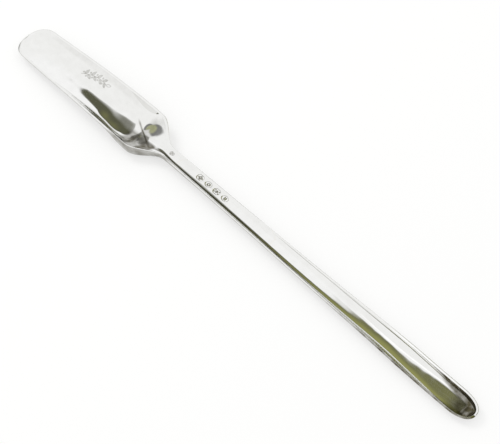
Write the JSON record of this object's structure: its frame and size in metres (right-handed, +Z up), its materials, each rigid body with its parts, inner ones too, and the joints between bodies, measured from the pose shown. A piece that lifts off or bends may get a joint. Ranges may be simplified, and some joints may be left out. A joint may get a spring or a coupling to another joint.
{
  "type": "marrow scoop",
  "caption": "Double-ended silver marrow scoop: a broad round-tipped scoop and a narrow gutter-shaped scoop joined by a slim channelled stem, for drawing marrow from bones.",
  "frame": {"origin": "on the resting plane, below the middle of the bounding box", "axes": "+X along the scoop from the broad tip to the narrow end, +Y across it, +Z up out of the hollows"},
  "size_m": [0.225, 0.0196, 0.0059],
  "materials": {
    "silver": "polished sterling silver with fine wear",
    "solder": "hard silver solder, filed flush and polished"
  },
  "bodies": {
    "root": {"broad_scoop": "silver", "stem": "silver", "narrow_scoop": "silver", "heel_drop": "silver", "bowl_joint_solder": "solder", "stem_joint_solder": "solder", "drop_solder": "solder"}
  },
  "joints": []
}
